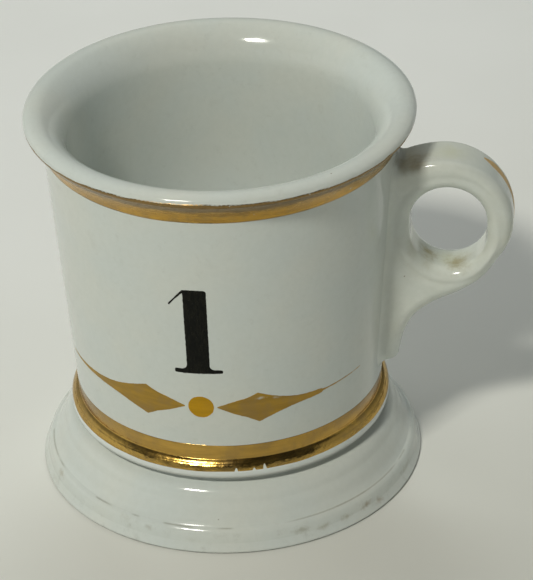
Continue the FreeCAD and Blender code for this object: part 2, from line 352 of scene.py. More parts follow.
def skin(field, low, step):
    """Vertices and four-sided faces of the zero surface of a sampled field."""
    cells = tuple(n - 1 for n in field.shape)
    total = np.zeros(cells + (3,))
    count = np.zeros(cells)
    for axis in range(3):
        for b in (0, 1):
            for c in (0, 1):
                offset = np.insert([b, c], axis, 0)
                here = field[tuple(slice(o, o + n) for o, n in zip(offset, cells))]
                offset_next = np.insert([b, c], axis, 1)
                there = field[tuple(slice(o, o + n) for o, n in zip(offset_next, cells))]
                crosses = (here < 0) != (there < 0)
                share = np.divide(here, here - there, out=np.zeros(cells), where=crosses)
                for k in range(3):
                    place = share if k == axis else offset[k]
                    total[..., k] += crosses * place
                count += crosses
    used = count > 0
    index = np.full(cells, -1)
    index[used] = np.arange(used.sum())
    vertices = low + step * (np.argwhere(used) + total[used] / count[used][:, None])
    faces = []
    inside = field < 0
    for axis in range(3):
        solid = np.moveaxis(inside, axis, 0)
        named = np.moveaxis(index, axis, 0)
        change = solid[:-1, 1:-1, 1:-1] != solid[1:, 1:-1, 1:-1]
        i, j, k = np.nonzero(change)
        square = [named[i, j, k], named[i, j + 1, k], named[i, j + 1, k + 1], named[i, j, k + 1]]
        faces.append(np.stack(square, 1))
    return vertices, np.concatenate(faces)


def flat_distance(xs, zs, outline):
    """Signed distance from each grid point to a closed outline, negative inside it."""
    x, z = np.meshgrid(xs, zs, indexing="ij")
    nearest = np.full(x.shape, 1e9)
    crossings = np.zeros(x.shape, bool)
    for (ax, az), (bx, bz) in zip(outline, np.roll(outline, -1, axis=0)):
        dx, dz = bx - ax, bz - az
        if dx * dx + dz * dz < 1e-12:
            continue
        share = np.clip(((x - ax) * dx + (z - az) * dz) / (dx * dx + dz * dz), 0, 1)
        nearest = np.minimum(nearest, (x - ax - share * dx) ** 2 + (z - az - share * dz) ** 2)
        if az != bz:
            crossings ^= ((az > z) != (bz > z)) & (x < dx * (z - az) / dz + ax)
    return np.sqrt(nearest) * np.where(crossings, -1, 1)


def round_cut(a, b, radius):
    """Both of two fields, with their edge rounded to a radius."""
    p, q = np.maximum(a + radius, 0), np.maximum(b + radius, 0)
    return np.minimum(np.maximum(a, b), -radius) + np.hypot(p, q)


def round_join(a, b, radius):
    """Either of two fields, with the corner between them filled to a radius."""
    p, q = np.maximum(radius - a, 0), np.maximum(radius - b, 0)
    return np.maximum(np.minimum(a, b), radius) - np.hypot(p, q)


# The handle's side view, and its finger hole

HOLE_CENTRE = (53.7, 66.1)
HOLE_RADIUS = 9.1
HOLE_STRAIGHT = 3.4


def handle_side():
    """The handle's outline: a thumb rest, the ring's outer bend and the S-shaped tail down the wall."""
    top = (52.3, HANDLE_HIGH.z)
    right = (HANDLE_HIGH.x - 1.35, 74.6)
    lower_right = (66.5, 59.5)
    tail = [lower_right, (62.0, 53.0), (56.6, 48.9), (50.6, 45.8), (45.9, 41.8), (43.2, 36.6), (42.0, 31.4)]
    tip = (39.6, HANDLE_LOW.z)
    return np.vstack([
        line((34, 78.5), (41.0, 81.4), 4),
        arc((41.0, 81.4), (46.5, 83.5), top),
        arc(top, right, lower_right, 60),
        smooth_curve(tail),
        arc(tail[-1], (41.3, 29.6), tip, 12),
        [tip, (34, HANDLE_LOW.z)],
    ])


def hole_side():
    """The finger hole: two half circles joined by short straight sides."""
    x, z = HOLE_CENTRE
    half = HOLE_STRAIGHT / 2
    left, right = (x - HOLE_RADIUS, z + half), (x + HOLE_RADIUS, z + half)
    low_right, low_left = (x + HOLE_RADIUS, z - half), (x - HOLE_RADIUS, z - half)
    return np.vstack([
        arc(left, (x, z + half + HOLE_RADIUS), right, 60),
        arc(low_right, (x, z - half - HOLE_RADIUS), low_left, 60),
        [low_left],
    ])


# The handle's roundings: the outer edges at the tail, the hole's mouth, and how both change over the top
CROWN_ROUND, CROWN_SHARPENS = 3.3, 1.6
MOUTH_ROUND, MOUTH_WIDENS = 2.9, 1.3
TOP_REACH = 18
# A soft groove round each side of the ring: depth, distance from the hole, half width
GROOVE_DEPTH, GROOVE_PLACE, GROOVE_WIDTH = 0.24, 3.5, 0.95
# The slip against the wall: its fillet and how far that sinks in, the piece's own depth, and its limits
FILLET = 2.6
FILLET_SINK = 0.05
WALL_BITE = 1.6
SLIP_HALF_WIDTH = 10.8
SLIP_LOW, SLIP_HIGH = 26.2, 86.0


def handle_mesh(step=0.3):
    """The ring, its tail, and the slip that fills the corner between them and the wall."""
    low = np.array([36.0, -12.0, 25.0])
    xs = np.arange(low[0], HANDLE_HIGH.x + 1, step)
    ys = np.arange(low[1], -low[1] + step, step)
    zs = np.arange(low[2], HANDLE_HIGH.z + 4, step)
    outline = flat_distance(xs, zs, handle_side())[:, None, :]
    hole = -flat_distance(xs, zs, hole_side())[:, None, :]
    aside = np.abs(ys)[None, :, None]
    upward = zs[None, None, :]
    over_hole = np.clip((upward - HOLE_CENTRE[1]) / TOP_REACH, 0, 1) ** 2
    crown = CROWN_ROUND - CROWN_SHARPENS * over_hole
    mouth = MOUTH_ROUND + MOUTH_WIDENS * over_hole
    groove = GROOVE_DEPTH * np.exp(-(((-hole - GROOVE_PLACE) / GROOVE_WIDTH) ** 2))
    flank = aside - HANDLE_HALF_WIDTH + groove
    body = np.maximum(round_cut(outline, flank, crown), round_cut(hole, flank, mouth))
    grid_x, grid_y = np.meshgrid(xs, ys, indexing="ij")
    distance = np.hypot(grid_x, grid_y)[:, :, None]
    slope = (WALL_TOP_RADIUS - CREASE_RADIUS) / (RIM_BAND_FOOT - CREASE_HEIGHT)
    wall = (distance - CREASE_RADIUS - slope * (upward - CREASE_HEIGHT)) / math.hypot(1, slope)
    joined = round_join(body, wall + FILLET_SINK, FILLET)
    for limit in (aside - SLIP_HALF_WIDTH, -(wall + WALL_BITE), SLIP_LOW - upward, upward - SLIP_HIGH):
        joined = np.maximum(joined, limit)
    return skin(joined, low, step)


# Flat drawings, wrapped on the wall: across is measured along the wall, up along Z

DECORATION_X = DOT_X - 0.2
DECORATION_ANGLE = -math.pi / 2 + math.asin(DECORATION_X / wall_radius(ORNAMENT_HEIGHT))


def painted(outline, thickness, wobble, step=0.1):
    """A thin film with soft edges over a flat outline, laid round the wall's front."""
    margin = 4 * step
    half_depth = 0.9 * step
    low = np.array([outline[:, 0].min() - margin, -3 * step / 2, outline[:, 1].min() - margin])
    high = np.array([outline[:, 0].max() + margin, 3 * step / 2, outline[:, 1].max() + margin])
    xs, ys, zs = (np.arange(low[k], high[k] + step, step) for k in range(3))
    x, z = np.meshgrid(xs, zs, indexing="ij")
    slow = np.sin(2.1 * x + 1.7 * z) * np.sin(1.3 * z - 0.8 * x)
    quick = 0.5 * np.sin(5.3 * x + 4.1 * z)
    flat = flat_distance(xs, zs, outline) + wobble * (slow + quick)
    depth = np.abs(ys)[None, :, None] - half_depth
    field = round_cut(flat[:, None, :], depth, step * 0.5)
    vertices, faces = skin(field, low, step)
    rise = vertices[:, 1] / half_depth
    lift = np.where(rise > 0, rise * thickness, rise * FILM_ROOT)
    base = wall_radius(vertices[:, 2])
    radius = base + lift
    angle = DECORATION_ANGLE + vertices[:, 0] / base
    return np.stack([radius * np.cos(angle), radius * np.sin(angle), vertices[:, 2]], 1), faces


def numeral_outline():
    """A slab-footed numeral one: a thick stem, a thin flag at its upper left, and a thin foot."""
    stem, foot = 2.72, 5.66
    low, high = NUMERAL_LOW, NUMERAL_HIGH
    foot_top = low + 1.08
    right = np.vstack([
        arc((foot - 0.25, low), (foot, low + 0.45), (foot - 0.25, foot_top - 0.05), 8),
        arc((foot - 1.4, foot_top), (stem + 0.3, foot_top + 0.25), (stem - 0.1, foot_top + 1.1), 10),
        [(stem - 0.02, low + 12), (stem + 0.02, high - 1.0)],
        arc((stem + 0.02, high - 0.9), (stem - 0.15, high - 0.25), (stem - 0.8, high), 6),
        [(-stem + 1.2, high), (-stem, high - 0.05)],
    ])
    flag = np.vstack([
        [(-stem - 0.25, high - 0.2), (-4.5, high - 2.0), (-6.05, high - 3.85)],
        arc((-6.2, high - 4.0), (-6.25, high - 4.4), (-5.85, high - 4.3), 6),
        [(-5.6, high - 3.95), (-4.2, high - 2.3), (-stem - 0.05, high - 0.9)],
    ])
    left = np.vstack([
        [(-stem - 0.02, high - 2.0), (-stem, low + 12), (-stem, foot_top + 1.1)],
        arc((-stem, foot_top + 1.1), (-stem - 0.4, foot_top + 0.25), (-foot + 1.4, foot_top), 10),
        arc((-foot + 0.2, foot_top - 0.1), (-foot, low + 0.3), (-foot + 0.2, low - 0.3), 8),
        [(-foot + 2.2, low - 0.22)],
    ])
    return np.vstack([right, flag, left])


# Half widths of a leaf by distance from the dot's centre: the leaf itself, then each tail
LEAF_TOP = [(3.8, 0.12), (7.8, 1.8), (10.8, 2.8), (13.5, 4.15), (16.0, 3.2), (19.4, 2.1)]
LEFT_TAIL = [(23.0, 1.3), (27.0, 0.82), (30.0, 0.6), (36.0, 0.36), (43.0, 0.14)]
RIGHT_TAIL = [(23.0, 1.25), (27.0, 0.86), (29.5, 0.70), (30.6, 0.26), (36.0, 0.16), (43.0, 0.08)]


def leaf_outline(side, tail, fullness, corner_high, corner_low, droop):
    """A four-cornered leaf with hollow sides, its outer end drawn out to a hairline.

    side is 1 for the right leaf and -1 for the left one. fullness widens the outer half, corner_high
    and corner_low push out the two middle corners by a share, and droop lowers the leaf in mm.
    """
    inner = smooth_curve(LEAF_TOP[:4], 6)
    outer = smooth_curve(LEAF_TOP[3:] + tail, 6)
    half = np.vstack([inner, outer, [tail[-1]]])
    half[:, 1] *= np.interp(half[:, 0], [13.5, 19.0, 30.0], [1.0, fullness, fullness])
    waist = np.interp(half[:, 0], [4.0, 13.5, 20.0], [0.0, 1.0, 0.0])
    bend = np.interp(half[:, 0], [4.0, 14.0, 28.0, 43.0], [0.0, -droop, -droop, 0.0])
    middle = ORNAMENT_HEIGHT + bend
    upper = np.stack([half[:, 0], middle + half[:, 1] * (1 + waist * corner_high)], 1)
    lower = np.stack([half[:, 0], middle - half[:, 1] * (1 + waist * corner_low)], 1)
    return np.vstack([upper, lower[::-1]]) * [side, 1]


def dot_outline():
    """The round dot between the leaves."""
    angles = np.linspace(0, math.tau, 60, endpoint=False)
    return np.stack([DOT_RADIUS * np.cos(angles), ORNAMENT_HEIGHT + DOT_RADIUS * np.sin(angles)], 1)


# The gold line on the handle: its two ends in the side view, half width, and lift inside and at its edges.
# Rays that find the handle's surface start at RAY_HEIGHT outside the spine.
LINE_START = (61.3, 81.6)
LINE_END = (42.4, 33.0)
LINE_HALF_WIDTH = 1.15
LINE_LIFT, LINE_EDGE_LIFT = 0.04, 0.003
RAY_HEIGHT = 2.5


def line_on_handle(handle):
    """A thin film along the handle's spine, laid on the handle's own surface.

    It begins with a point on the far side of the spine's middle and crosses to the painted side.
    """
    tree = BVHTree.FromObject(handle, bpy.context.evaluated_depsgraph_get())
    side = handle_side()
    start, end = (np.argmin(np.hypot(*(side - place).T)) for place in (LINE_START, LINE_END))
    spine = softened(side[start:end], 0.5, step=0.5)
    way = np.gradient(spine, axis=0)
    way /= np.linalg.norm(way, axis=1)[:, None]
    across = np.linspace(-1, 1, 13)
    grid, normals = [], []
    for k, ((x, z), (dx, dz)) in enumerate(zip(spine, way)):
        share = k / len(spine)
        centre = 2.3 - 3.8 * share + 0.2 * math.sin(9 * share)
        point = min(1, 0.25 + 18 * share)
        wide = LINE_HALF_WIDTH * (1 + 0.06 * math.sin(23 * share)) * point
        row, row_normals = [], []
        for v in across:
            begin = Vector((x - RAY_HEIGHT * dz, centre + v * wide, z + RAY_HEIGHT * dx)) * MM
            place, normal, _, _ = tree.ray_cast(begin, Vector((dz, 0, -dx)))
            row.append(np.array(place) / MM)
            row_normals.append(np.array(normal))
        grid.append(row)
        normals.append(row_normals)
    grid, normals = np.array(grid), np.array(normals)
    fade = 1 - np.abs(across) ** 12
    fade = fade[None, :, None] * np.ones(len(grid))[:, None, None]
    fade[0] = fade[-1] = 0
    outer = grid + normals * (LINE_LIFT * fade + LINE_EDGE_LIFT)
    inner = grid - normals * FILM_ROOT
    return shell(outer, inner)


def shell(outer, inner):
    """A closed thin shell between two grids of points."""
    rows, columns = outer.shape[:2]
    vertices = np.concatenate([outer.reshape(-1, 3), inner.reshape(-1, 3)])
    under = rows * columns

    def at(i, j):
        """Index of the outer grid's point in row i, column j."""
        return i * columns + j

    faces = []
    for i in range(rows - 1):
        for j in range(columns - 1):
            square = (at(i, j), at(i, j + 1), at(i + 1, j + 1), at(i + 1, j))
            faces.append(square)
            faces.append(tuple(under + v for v in square[::-1]))
    edge = [at(0, j) for j in range(columns)]
    edge += [at(i, columns - 1) for i in range(1, rows)]
    edge += [at(rows - 1, j) for j in range(columns - 2, -1, -1)]
    edge += [at(i, 0) for i in range(rows - 2, 0, -1)]
    for a, b in zip(edge, edge[1:] + edge[:1]):
        faces.append((a, under + a, under + b, b))
    return vertices, faces


# Materials. Every pattern follows the object's own coordinates, in metres.

# Noise scales are per metre, and BODY_RADIUS in mm turns bearings into lengths round the mug
PER_MM = 1000.0
BODY_RADIUS = 40


class Pattern:
    """Short ways to build patterns in a node tree."""

    def __init__(self, tree):
        """Works in the given node tree."""
        self.tree = tree

    def node(self, kind, inputs=None, **settings):
        """A new node. Inputs are sockets to link or values to set; settings are the node's own."""
        made = self.tree.nodes.new(kind)
        for key, value in settings.items():
            setattr(made, key, value)
        for key, value in (inputs or {}).items():
            if isinstance(value, bpy.types.NodeSocket):
                self.tree.links.new(value, made.inputs[key])
            else:
                made.inputs[key].default_value = value
        return made

    def math(self, operation, a, b=0.0):
        """One sum on two sockets or numbers."""
        return self.node("ShaderNodeMath", {0: a, 1: b}, operation=operation).outputs[0]

    def times(self, *factors):
        """The product of two or more patterns or numbers."""
        total = factors[0]
        for factor in factors[1:]:
            total = self.math("MULTIPLY", total, factor)
        return total

    def step(self, value, low, high, start=0.0, end=1.0):
        """A smooth change from start to end while the value goes from low to high."""
        inputs = {"Value": value, "From Min": low, "From Max": high, "To Min": start, "To Max": end}
        return self.node("ShaderNodeMapRange", inputs, interpolation_type="SMOOTHSTEP").outputs["Result"]


class Paint(Pattern):
    """A material with one Principled shader, and the patterns that drive it."""

    def __init__(self, name, **settings):
        """Makes the material; settings are the shader's fixed inputs."""
        self.material = bpy.data.materials.new(name)
        self.material.use_nodes = True
        super().__init__(self.material.node_tree)
        self.shader = self.tree.nodes["Principled BSDF"]
        for key, value in settings.items():
            self.shader.inputs[key.replace("_", " ")].default_value = value
        self.place = self.node("ShaderNodeTexCoord").outputs["Object"]

    def drive(self, name, value):
        """Links a pattern to an input of the shader."""
        self.tree.links.new(value, self.shader.inputs[name])

    def noise(self, size, detail=3.0, rough=0.5, place=None):
        """Soft noise whose features are about size millimetres across."""
        place = place or self.place
        inputs = {"Vector": place, "Scale": PER_MM / size, "Detail": detail, "Roughness": rough}
        return self.node("ShaderNodeTexNoise", inputs).outputs["Fac"]

    def mix(self, share, a, b):
        """The colour a share of the way from a to b."""
        made = self.node("ShaderNodeMix", {"Factor": share}, data_type="RGBA")
        for socket, value in ((made.inputs[6], a), (made.inputs[7], b)):
            if isinstance(value, bpy.types.NodeSocket):
                self.tree.links.new(value, socket)
            else:
                socket.default_value = (*value, 1.0)
        return made.outputs[2]

    def xyz(self):
        """Sockets for the object's three coordinates."""
        return self.node("ShaderNodeSeparateXYZ", {"Vector": self.place}).outputs

    def stretched(self, x, y, z):
        """The object's coordinates, scaled by axis."""
        inputs = {"Vector": self.place, "Scale": (x, y, z)}
        return self.node("ShaderNodeMapping", inputs).outputs["Vector"]

    def around(self, along):
        """Coordinates that run round the axis and up it, so that streaks follow the banding wheel.

        Features come out longer round the mug than up it, by the factor along.
        """
        x, y, z = self.xyz()
        angle = self.math("ARCTAN2", y, x)
        arc_length = self.times(angle, BODY_RADIUS * MM / along)
        inputs = {"X": arc_length, "Y": z, "Z": self.times(x, 0.02)}
        return self.node("ShaderNodeCombineXYZ", inputs).outputs["Vector"]

    def near(self, centre, size, ragged=0.35, grain=1.5):
        """A ragged blot, strongest at its centre and gone about half of size away, in mm for x, y, z."""
        inputs = {
            "Vector": self.place,
            "Location": tuple(-c / s for c, s in zip(centre, size)),
            "Scale": tuple(PER_MM / s for s in size),
        }
        local = self.node("ShaderNodeMapping", inputs).outputs["Vector"]
        far = self.node("ShaderNodeVectorMath", {0: local}, operation="LENGTH").outputs["Value"]
        factors = {0: self.noise(grain, 4.0, 0.7), 1: 2 * ragged, 2: 0.5}
        uneven = self.node("ShaderNodeMath", factors, operation="MULTIPLY_ADD").outputs[0]
        far = self.math("ADD", far, uneven)
        return self.step(far, 1.0 + ragged, 0.35 + ragged)

    def bump(self, height, depth, distance):
        """Relief from a height pattern; depth is its strength and distance its size in mm."""
        inputs = {"Height": height, "Strength": depth, "Distance": distance * MM}
        self.drive("Normal", self.node("ShaderNodeBump", inputs).outputs["Normal"])


def axis_parts(paint):
    """Sockets for height, distance from the axis and angle round it, in metres and radians."""
    x, y, z = paint.xyz()
    square = paint.math("ADD", paint.times(x, x), paint.times(y, y))
    return z, paint.math("SQRT", square), paint.math("ARCTAN2", y, x)


# Colours
PORCELAIN_COOL = (0.610, 0.652, 0.628)
PORCELAIN_WARM = (0.645, 0.665, 0.617)
PORCELAIN_MOTTLE = (0.49, 0.53, 0.485)
# Paler glaze, painted light deep inside the cup and on its bead
PORCELAIN_PAINTED_LIGHT = (0.700, 0.735, 0.710)
PORCELAIN_OLIVE = (0.605, 0.625, 0.475)
HANDLE_COOL = (0.640, 0.684, 0.650)
HANDLE_WARM = (0.672, 0.695, 0.640)
HANDLE_FILM = (0.42, 0.42, 0.30)
PINHOLE = (0.24, 0.21, 0.16)
# Grime, also painted shade under the cup's bead
GRIME_AND_SHADE = (0.20, 0.19, 0.14)
SEAM_DIRT = (0.17, 0.15, 0.10)
# Brown stains, also painted shade near the handle's root
STAIN_AND_SHADE = (0.29, 0.235, 0.085)
# Painted contact shadow along the foot's standing edge
CONTACT_SHADE = (0.05, 0.048, 0.035)
GOLD_DULL = (0.36, 0.24, 0.10)
GOLD_BROWN = (0.22, 0.15, 0.075)
ENAMEL_BLACK = (0.001, 0.0014, 0.001)
ENAMEL_BROWN = (0.0075, 0.0075, 0.0042)
ENAMEL_SCUFF = (0.05, 0.048, 0.04)


def porcelain(name, marks_and_light, cool=PORCELAIN_COOL, warm=PORCELAIN_WARM):
    """Glossy clear glaze over a cool white body, with faint mottling, pinholes and ripple.

    The second argument gives the piece's dirt, painted light and shade, as pairs of a mask and a colour.
    """
    paint = Paint(name, Roughness=0.1, IOR=1.5)
    clouds = paint.step(paint.noise(22, 3.0), 0.3, 0.7)
    tone = paint.mix(clouds, cool, warm)
    mottle = paint.step(paint.noise(1.6, 4.0, 0.65), 0.25, 0.75)
    tone = paint.mix(paint.times(mottle, 0.16), tone, PORCELAIN_MOTTLE)
    cells = paint.node("ShaderNodeTexVoronoi", {"Vector": paint.place, "Scale": PER_MM / 6.5})
    pinhole = paint.step(cells.outputs["Distance"], 0.035, 0.02)
    few = paint.step(paint.noise(9, 2.0), 0.60, 0.63)
    tone = paint.mix(paint.times(pinhole, few), tone, PINHOLE)
    for mask, colour in marks_and_light(paint):
        tone = paint.mix(mask, tone, colour)
    paint.drive("Base Color", tone)
    scuffs = paint.noise(5, 5.0, 0.7, paint.stretched(1, 1, 3))
    paint.drive("Roughness", paint.step(scuffs, 0.4, 0.75, 0.09, 0.2))
    ripple = paint.math("ADD", paint.noise(9, 1.5), paint.times(paint.noise(1.3, 2.0), 0.02))
    paint.bump(ripple, 0.35, 0.16)
    return paint.material


# The glaze nearer the axis than this is the cup's inside
INSIDE_RADIUS = 36.9


def cup_dirt_and_light(paint):
    """Painted light, paler glaze deep inside and on the bead; painted shade under the bead; faint grime
    patches.
    """
    height, radius, _ = axis_parts(paint)
    # Painted shade: darker glaze under the bead, round the neck
    neck = paint.times(paint.step(height, 17.2 * MM, 16.3 * MM), 0.5)
    patches = paint.times(paint.step(paint.noise(3, 4.0, 0.7), 0.56, 0.75), 0.08)
    inside = paint.step(radius, (INSIDE_RADIUS + 0.2) * MM, (INSIDE_RADIUS - 0.2) * MM)
    # Painted light: paler glaze deep inside the cup and on the bead
    deep = paint.times(inside, paint.step(height, 72 * MM, 38 * MM))
    bead = paint.step(height, 19.0 * MM, 18.1 * MM)
    painted_light = paint.math("MAXIMUM", deep, bead)
    return [(painted_light, PORCELAIN_PAINTED_LIGHT), (patches, GRIME_AND_SHADE), (neck, GRIME_AND_SHADE)]


# Dirt on the foot: the seam's height, and the bearings between which its line is unbroken, in radians
SEAM_HEIGHT = 5.62
SEAM_START, SEAM_END = (-1.2, -1.05), (-0.32, -0.40)
# Blots: bearing in degrees, height, size before BLOT_SPREAD, strength, colour
FOOT_BLOTS = [
    (-150.0, 4.4, 4.2, 0.60, (0.40, 0.37, 0.28)),
    (-109.0, 4.2, 3.0, 0.50, (0.36, 0.35, 0.28)),
    (-118.0, 4.8, 3.4, 0.35, (0.38, 0.37, 0.30)),
    (-95.0, 3.0, 3.6, 0.25, (0.42, 0.41, 0.33)),
    (-62.5, 3.4, 4.6, 0.60, (0.30, 0.29, 0.22)),
    (-55.0, 2.6, 4.0, 0.55, (0.33, 0.31, 0.22)),
    (-47.0, 2.8, 3.6, 0.55, (0.34, 0.31, 0.21)),
    (-39.0, 3.0, 3.6, 0.75, (0.26, 0.19, 0.10)),
    (-33.0, 2.0, 3.2, 0.60, (0.28, 0.22, 0.13)),
    (-15.0, 3.0, 8.0, 0.45, (0.36, 0.34, 0.26)),
]
BLOT_SPREAD = 1.35
BLOT_HEIGHT = 2.3


def foot_dirt_and_shade(paint):
    """A dirty, broken seam round the rim, painted shade on the standing edge, a faint film and single
    blots.
    """
    height, _, angle = axis_parts(paint)
    ragged = paint.noise(0.8, 3.0, 0.7)
    off_line = paint.math("ABSOLUTE", paint.math("SUBTRACT", height, SEAM_HEIGHT * MM))
    off_line = paint.math("ADD", off_line, paint.times(ragged, 0.12 * MM))
    near_line = paint.step(off_line, 0.2 * MM, 0.09 * MM)
    unbroken = paint.times(paint.step(angle, *SEAM_END), paint.step(angle, *SEAM_START))
    pieces = paint.step(paint.noise(10, 2.0, 0.5), 0.49, 0.58)
    seam = paint.times(near_line, paint.math("MAXIMUM", pieces, paint.times(unbroken, 0.8)))
    # Painted contact shadow: the standing edge is darkened where the foot meets the floor
    uneven_height = paint.math("ADD", height, paint.times(ragged, 0.7 * MM))
    shaded_foot_edge = paint.step(uneven_height, 0.85 * MM, 0.45 * MM)
    film = paint.step(paint.noise(4, 5.0, 0.75), 0.52, 0.72)
    low_film = paint.times(film, paint.step(height, 7 * MM, 3 * MM))
    marks = [
        (paint.times(low_film, 0.20), GRIME_AND_SHADE),
        (paint.times(seam, 0.42), SEAM_DIRT),
        (paint.times(shaded_foot_edge, 0.6), CONTACT_SHADE),
    ]
    for bearing, z, size, strength, colour in FOOT_BLOTS:
        r = FOOT_RADIUS - 1.0
        turn = math.radians(bearing)
        centre = (r * math.cos(turn), r * math.sin(turn), z)
        wide = BLOT_SPREAD * size
        blot = paint.near(centre, (wide, wide, BLOT_HEIGHT), 0.5, 1.3)
        marks.append((paint.times(blot, strength), colour))
    return marks


# Yellowed glaze on the handle's top, outer bend and under the finger hole: centre, size, strength
HANDLE_YELLOWING = [
    ((54.0, 0.0, 85.0), (14.0, 9.0, 6.0), 0.9),
    ((68.0, -3.0, 66.0), (7.0, 8.0, 14.0), 0.6),
    ((53.0, 0.0, 54.5), (11.0, 9.0, 5.5), 1.0),
]
# Brown stains in the finger hole's lower rim, and painted shade near the handle's root: centre, size,
# strength
HANDLE_STAINS_AND_SHADE = [
    ((47.0, -1.0, 56.2), (10.5, 12.0, 8.5), 0.55),
    ((48.6, 0.0, 56.0), (6.4, 7.5, 6.0), 0.80),
    ((56.4, -1.5, 55.4), (11.0, 11.0, 8.0), 0.60),
    ((55.4, -2.4, 55.2), (6.8, 6.8, 6.0), 0.60),
    # Painted shade on the lower left inside of the finger hole
    ((45.0, -4.0, 60.5), (4.5, 6.0, 9.0), 0.35),
    # Painted shadow where the rim's shadow falls on the handle's top
    ((45.0, -3.0, 83.0), (13.0, 10.0, 7.0), 0.60),
]


def handle_dirt_and_shade(paint):
    """Yellowed glaze, brown stains, painted shade near the handle's root, and a faint film."""
    film = paint.step(paint.noise(7, 4.0, 0.6), 0.35, 0.7)
    marks = []
    for centre, size, strength in HANDLE_YELLOWING:
        marks.append((paint.times(paint.near(centre, size, 0.3, 5.0), strength), PORCELAIN_OLIVE))
    for centre, size, strength in HANDLE_STAINS_AND_SHADE:
        marks.append((paint.times(paint.near(centre, size, 0.35, 2.2), strength), STAIN_AND_SHADE))
    marks.append((paint.times(film, 0.1), HANDLE_FILM))
    return marks


# Worn places on the right leaf: centre, size, strength
LEAF_WEAR = [
    ((12.0, -36.3, 37.9), (3.4, 3.0, 0.95), 0.7),
    ((15.6, -35.0, 37.3), (3.0, 3.0, 0.9), 0.6),
    ((31.8, -20.5, 35.6), (1.6, 1.6, 1.0), 1.0),
    ((28.6, -24.6, 35.5), (1.8, 1.8, 1.0), 0.9),
]


def gold(name, bright, dark, rough, wear, relief=0.05, browning=None, blots=(), dulled=0.55,
         metal=1.0, hammered_below=0.0):
    """Fired gilding: brush streaks, soft dimples, browning (painted shade on the rim), and glaze where it
    has worn off.

    The higher wear is, the less gold is gone. Below the height hammered_below the dimples are deeper.
    """
    paint = Paint(name, IOR=1.5)
    brush = paint.noise(1.6, 4.0, 0.65, paint.around(7.0))
    dimples = paint.noise(1.15, 2.0, 0.5, paint.around(1.9))
    grain = paint.noise(0.5, 3.0, 0.6)
    tone = paint.mix(paint.step(brush, 0.3, 0.7), dark, bright)
    cloud = paint.step(paint.noise(5, 4.0, 0.6), 0.42, 0.68)
    tone = paint.mix(paint.times(cloud, dulled), tone, GOLD_DULL)
    if browning:
        tone = paint.mix(browning(paint), tone, GOLD_BROWN)
    gone = paint.step(paint.noise(2.2, 5.0, 0.75), wear, wear + 0.035)
    for centre, size, strength in blots:
        gone = paint.math("MAXIMUM", gone, paint.times(paint.near(centre, size, 0.6, 1.0), strength))
    paint.drive("Base Color", paint.mix(gone, tone, PORCELAIN_COOL))
    paint.drive("Metallic", paint.times(paint.math("SUBTRACT", 1.0, gone), metal))
    paint.drive("Roughness", paint.step(brush, 0.25, 0.75, rough, rough + 0.12))
    if hammered_below:
        height, _, _ = axis_parts(paint)
        deeper = paint.step(height, hammered_below * MM, (hammered_below - 0.4) * MM, 1.0, 2.6)
        dimples = paint.times(dimples, deeper)
    surface = paint.math("ADD", dimples, paint.times(brush, 0.2))
    surface = paint.math("ADD", surface, paint.times(grain, 0.25))
    paint.bump(surface, 0.5, relief)
    return paint.material


def rim_painted_shade(paint):
    """Painted shade: the band's upper part, under the lip, is browned in a ragged line."""
    height, _, _ = axis_parts(paint)
    ragged = paint.times(paint.noise(3.0, 4.0, 0.7, paint.around(2.5)), 3.2 * MM)
    line_height = paint.math("SUBTRACT", height, ragged)
    return paint.times(paint.step(line_height, 89.2 * MM, 90.1 * MM), 0.8)


def end_browning(paint):
    """The band browns towards its top edge on the mug's two sides."""
    height, _, angle = axis_parts(paint)
    off_front = paint.math("ABSOLUTE", paint.math("ADD", angle, 1.57))
    side = paint.step(off_front, 0.55, 1.0)
    uneven_height = paint.math("ADD", height, paint.times(paint.noise(4, 4.0, 0.7), 3 * MM))
    upper = paint.step(uneven_height, 22.5 * MM, 25.5 * MM)
    return paint.times(side, upper, 0.7)


def enamel(name):
    """Glossy black enamel, slightly uneven from the brush and scuffed in places."""
    paint = Paint(name, IOR=1.24)
    brush = paint.noise(1.4, 4.0, 0.6, paint.stretched(3, 3, 0.6))
    tone = paint.mix(paint.step(brush, 0.35, 0.7), ENAMEL_BLACK, ENAMEL_BROWN)
    scuff = paint.times(paint.step(paint.noise(0.5, 4.0, 0.8), 0.68, 0.76), 0.4)
    paint.drive("Base Color", paint.mix(scuff, tone, ENAMEL_SCUFF))
    paint.drive("Roughness", paint.step(paint.noise(2.5, 3.0), 0.4, 0.7, 0.12, 0.3))
    paint.bump(brush, 0.3, 0.06)
    return paint.material


# The pieces

def build_cup():
    """The cup, its inside and outside turned in one section."""
    glaze = porcelain("cup_glaze", cup_dirt_and_light)
    section = np.vstack([thinned(softened(inner_side(), 0.22)), thinned(OUTER)[1:]])
    make_object("cup", lathe(section), glaze, "glazed_porcelain", "cup_body")


def build_foot():
    """The hollow foot, and the ring of slip that joins it to the cup, both under the foot's glaze."""
    glaze = porcelain("foot_glaze", foot_dirt_and_shade)
    section = thinned(softened(foot_loop(), 0.07, closed=True))
    make_object("foot", lathe(section), glaze, "glazed_porcelain_foot", "pedestal_foot")
    make_object("neck_slip", lathe(slip_loop()), glaze, "slip_joint", "foot_slip_joint")


def build_handle():
    """The handle fused with its slip."""
    glaze = porcelain("handle_glaze", handle_dirt_and_shade, HANDLE_COOL, HANDLE_WARM)
    return make_object("handle_and_slip", handle_mesh(), glaze, "glazed_porcelain_handle",
                       "handle", "handle_slip_joint")


def build_handle_line(handle):
    """The worn gold line down the handle's spine."""
    worn = gold("handle_line_gold", (0.72, 0.50, 0.24), (0.60, 0.41, 0.18), rough=0.45, wear=0.64,
                dulled=0.15, metal=0.3)
    make_object("handle_line", line_on_handle(handle), worn, "worn_gold", "handle_gold_line")


